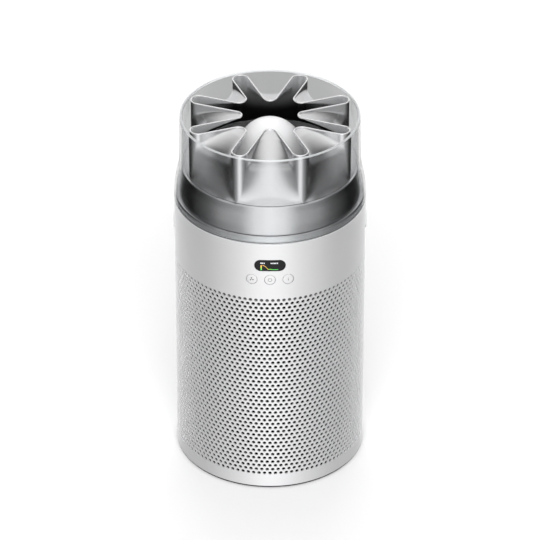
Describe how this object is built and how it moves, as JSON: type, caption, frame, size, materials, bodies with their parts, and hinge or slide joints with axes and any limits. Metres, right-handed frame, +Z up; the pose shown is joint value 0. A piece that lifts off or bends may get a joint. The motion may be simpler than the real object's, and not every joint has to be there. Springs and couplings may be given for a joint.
{
  "type": "air purifier",
  "caption": "Cylindrical floor or desk air purifier: perforated white casing, small display with buttons, and a slotted silver nozzle under a clear shell.",
  "frame": {"origin": "centre of the underside, on the surface it stands on", "axes": "+Z up along the cylinder, the display faces -Y, +X is the right-hand side seen from the front"},
  "size_m": [0.2264, 0.224, 0.45],
  "materials": {
    "white_casing": "satin white, fine moulded grain",
    "white_plastic": "satin white",
    "white_button": "satin white with a pale grey printed icon and ring",
    "display_black": "polished black window",
    "nozzle_silver": "polished, slightly satin silver",
    "pale_silver": "bright satin silver",
    "clear_plastic": "clear, polished",
    "foot_rubber": "matt black",
    "cable_rubber": "matt black",
    "black_plastic": "fine grained black",
    "grey_plastic": "fine grained grey",
    "steel": "zinc plated",
    "magnet": "dark sintered",
    "copper": "enamelled winding wire",
    "circuit_board": "green solder mask",
    "filter_paper": "pleated glass-fibre paper",
    "carbon_cloth": "granular carbon cloth",
    "prefilter_mesh": "fine woven mesh",
    "foam": "open-cell foam"
  },
  "bodies": {
    "body": {"foot_ring": "foot_rubber", "base_plate": "white_plastic", "base_deck": "black_plastic", "power_board": "circuit_board", "inlet_socket": "black_plastic", "inlet_pin": "steel", "filter_end_cap_lower": "grey_plastic", "prefilter_sleeve": "prefilter_mesh", "particle_filter": "filter_paper", "carbon_filter": "carbon_cloth", "filter_end_cap_upper": "grey_plastic", "filter_seal": "foot_rubber", "inlet_bellmouth": "black_plastic", "inlet_guard": "black_plastic", "fan_duct": "black_plastic", "acoustic_foam": "foam", "diffuser": "black_plastic", "bearing_lower": "steel", "bearing_upper": "steel", "motor_can": "steel", "motor_stator": "copper", "outlet_cone": "pale_silver", "outer_casing": "white_casing", "display_window": "display_black", "display_panel": "black_plastic", "control_board": "circuit_board", "air_quality_sensor": "black_plastic", "wiring_harness": "cable_rubber", "head_seal": "foot_rubber", "base_screw_1": "steel", "base_screw_2": "steel", "base_screw_3": "steel", "base_screw_4": "steel", "fan_speed_switch": "black_plastic", "power_switch": "black_plastic", "info_switch": "black_plastic", "release_spring_right": "steel", "release_spring_left": "steel"},
    "fan": {"impeller": "grey_plastic", "impeller_nut": "steel", "motor_shaft": "steel", "motor_magnet": "magnet"},
    "head": {"head_base_ring": "nozzle_silver", "nozzle_collar": "nozzle_silver", "nozzle_lobes": "nozzle_silver", "clear_shell": "clear_plastic", "latch_hook_right": "steel", "latch_hook_left": "steel"},
    "fan_speed_button": {"fan_speed_button": "white_button"},
    "power_button": {"power_button": "white_button"},
    "info_button": {"info_button": "white_button"},
    "release_right": {"release_button_right": "white_plastic"},
    "release_left": {"release_button_left": "white_plastic"}
  },
  "joints": [
    {"name": "fan_spin", "type": "hinge", "parent": "body", "child": "fan", "pos_m": [0, 0, 0.3], "axis": [0, 0, 1], "continuous": true},
    {"name": "head_lift", "type": "slide", "parent": "body", "child": "head", "axis": [0, 0, 1], "range_m": [0, 0.1]},
    {"name": "fan_speed_press", "type": "slide", "parent": "body", "child": "fan_speed_button", "axis": [0.189, 0.982, 0], "range_m": [0, 0.0008], "stiffness_N_per_m": 1500, "springref_m": -0.0005},
    {"name": "power_press", "type": "slide", "parent": "body", "child": "power_button", "axis": [0, 1, 0], "range_m": [0, 0.0008], "stiffness_N_per_m": 1500, "springref_m": -0.0005},
    {"name": "info_press", "type": "slide", "parent": "body", "child": "info_button", "axis": [-0.189, 0.982, 0], "range_m": [0, 0.0008], "stiffness_N_per_m": 1500, "springref_m": -0.0005},
    {"name": "release_right_press", "type": "slide", "parent": "body", "child": "release_right", "axis": [-1, 0, 0], "range_m": [0, 0.002], "stiffness_N_per_m": 1500, "springref_m": -0.001},
    {"name": "release_left_press", "type": "slide", "parent": "body", "child": "release_left", "axis": [1, 0, 0], "range_m": [0, 0.002], "stiffness_N_per_m": 1500, "springref_m": -0.001}
  ]
}
